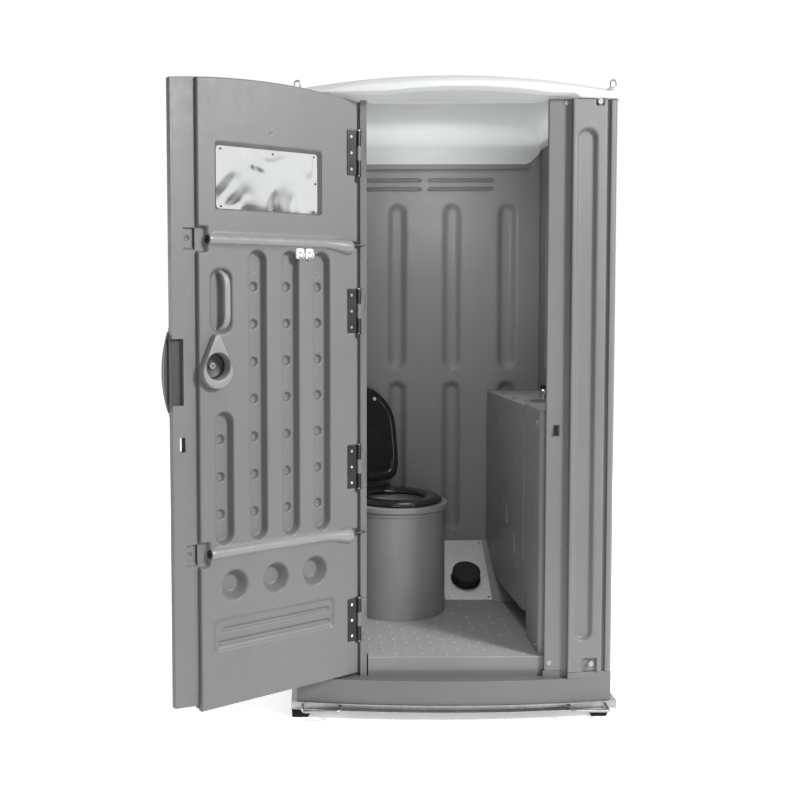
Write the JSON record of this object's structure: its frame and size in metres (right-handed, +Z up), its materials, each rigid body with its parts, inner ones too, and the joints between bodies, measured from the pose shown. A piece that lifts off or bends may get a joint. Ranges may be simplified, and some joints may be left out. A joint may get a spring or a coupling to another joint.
{
  "type": "portable toilet cabin",
  "caption": "Portable toilet cabin with a hinged door, translucent roof, waste tank with seat and lid, foot pump and wash unit, on a steel skid base.",
  "frame": {"origin": "on the ground, in the middle of the pattern of anchor holes, which is the middle of the footprint", "axes": "+Z up; the door faces -Y; +X to the right of somebody facing the door"},
  "size_m": [1.5368, 1.5628, 2.3],
  "materials": {
    "skid_plastic": "moulded black",
    "galvanised_steel": "galvanised",
    "tray_plastic": "fine moulded grain",
    "wall_plastic": "fine moulded grain",
    "door_plastic": "fine moulded grain",
    "roof_plastic": "translucent milky",
    "tank_plastic": "fine moulded grain",
    "bowl_plastic": "smooth",
    "black_plastic": "smooth satin",
    "dark_steel": "dark coated",
    "steel": "satin",
    "spring_steel": "bright zinc",
    "mirror_sheet": "polished acrylic",
    "white_plastic": "smooth",
    "rubber": "matt"
  },
  "bodies": {
    "cabin": {"skid_left": "skid_plastic", "skid_right": "skid_plastic", "base_frame": "galvanised_steel", "tie_down_loops": "galvanised_steel", "floor_tray": "tray_plastic", "hinge_post_left": "wall_plastic", "latch_panel_right": "wall_plastic", "wall_back": "wall_plastic", "wall_right": "wall_plastic", "wall_left": "wall_plastic", "corner_post_rear_left": "wall_plastic", "corner_post_rear_right": "wall_plastic", "roof": "roof_plastic", "lifting_eyes": "galvanised_steel", "panel_bolts": "steel", "jamb_hinge_leaves": "dark_steel", "hinge_screws_jamb": "steel", "hinge_pins": "steel", "closer_jamb_eyes": "steel", "padlock_staple": "steel", "waste_tank": "tank_plastic", "tank_rim": "tank_plastic", "toilet_bowl": "bowl_plastic", "seat_bumpers": "rubber", "seat_hinge_blocks": "black_plastic", "seat_hinge_pin": "steel", "pump_plate": "galvanised_steel", "pump_screws": "steel", "pump_base": "rubber", "pump_bellows": "rubber", "wash_cabinet": "tank_plastic", "wash_tank": "tank_plastic", "wash_basin": "tank_plastic", "wash_tap": "black_plastic", "wash_tap_cap": "white_plastic", "wash_unit_bolts": "steel"},
    "door": {"door_outer_skin": "door_plastic", "door_inner_panel": "door_plastic", "door_edge_grip": "door_plastic", "door_mirror": "mirror_sheet", "mirror_screws": "steel", "inner_pull_handle": "door_plastic", "coat_hook": "white_plastic", "coat_hook_screws": "steel", "closer_anchors": "steel", "door_hinge_leaves": "dark_steel", "hinge_screws_door": "steel", "closer_springs": "spring_steel"},
    "latch": {"latch_knob": "tank_plastic"},
    "seat": {"toilet_seat": "black_plastic"},
    "lid": {"toilet_lid": "black_plastic", "lid_bumpers": "white_plastic"},
    "foot_pump_cap": {"pump_cap": "rubber"}
  },
  "joints": [
    {"name": "door_hinge", "type": "hinge", "parent": "cabin", "child": "door", "pos_m": [-0.332, -0.54, 1.155], "axis": [0, 0, 1], "range_deg": [-8, 144], "deforming": ["closer_springs"]},
    {"name": "latch_turn", "type": "hinge", "parent": "door", "child": "latch", "pos_m": [-0.7988, -0.87915, 1.255], "axis": [0.5878, -0.809, 0], "range_deg": [0, 90]},
    {"name": "seat_hinge", "type": "hinge", "parent": "cabin", "child": "seat", "pos_m": [-0.2685, 0.31775, 0.67], "axis": [0.891, 0.454, 0], "range_deg": [-92, 0]},
    {"name": "lid_hinge", "type": "hinge", "parent": "cabin", "child": "lid", "pos_m": [-0.2685, 0.31775, 0.67], "axis": [0.891, 0.454, 0], "range_deg": [0, 100]},
    {"name": "foot_pump_press", "type": "slide", "parent": "cabin", "child": "foot_pump_cap", "axis": [0, 0.5406, -0.8413], "range_m": [0, 0.024], "stiffness_N_per_m": 900, "springref_m": -0.006, "deforming": ["pump_bellows"]}
  ]
}
